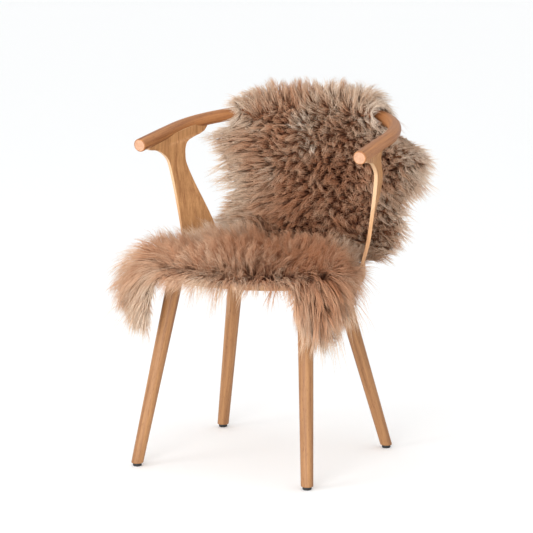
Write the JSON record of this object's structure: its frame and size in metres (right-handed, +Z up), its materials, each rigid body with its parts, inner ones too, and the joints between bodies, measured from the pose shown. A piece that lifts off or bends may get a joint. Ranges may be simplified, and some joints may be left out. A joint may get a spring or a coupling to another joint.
{
  "type": "sheepskin on a chair",
  "caption": "Long-wool sheepskin draped over a plain oak dining chair with arms, its leg lobes hanging over the seat's front corners.",
  "frame": {"origin": "on the floor, under the middle of the whole thing's box", "axes": "+Z up, the chair faces -Y, +X to its right seen from the front"},
  "size_m": [0.6656, 0.6688, 0.8371],
  "materials": {
    "oak": "oiled",
    "oak_ply": "oiled veneer",
    "black_glide": "matte",
    "wool": "long-pile wool on leather"
  },
  "bodies": {
    "root": {"leg_front_left": "oak", "leg_front_right": "oak", "leg_back_left": "oak", "leg_back_right": "oak", "top_rail": "oak", "seat_panel": "oak_ply", "arm_post_left": "oak_ply", "arm_post_right": "oak_ply", "back_panel": "oak_ply", "glide_front_left": "black_glide", "glide_front_right": "black_glide", "glide_back_left": "black_glide", "glide_back_right": "black_glide", "sheepskin": "wool"}
  },
  "joints": []
}
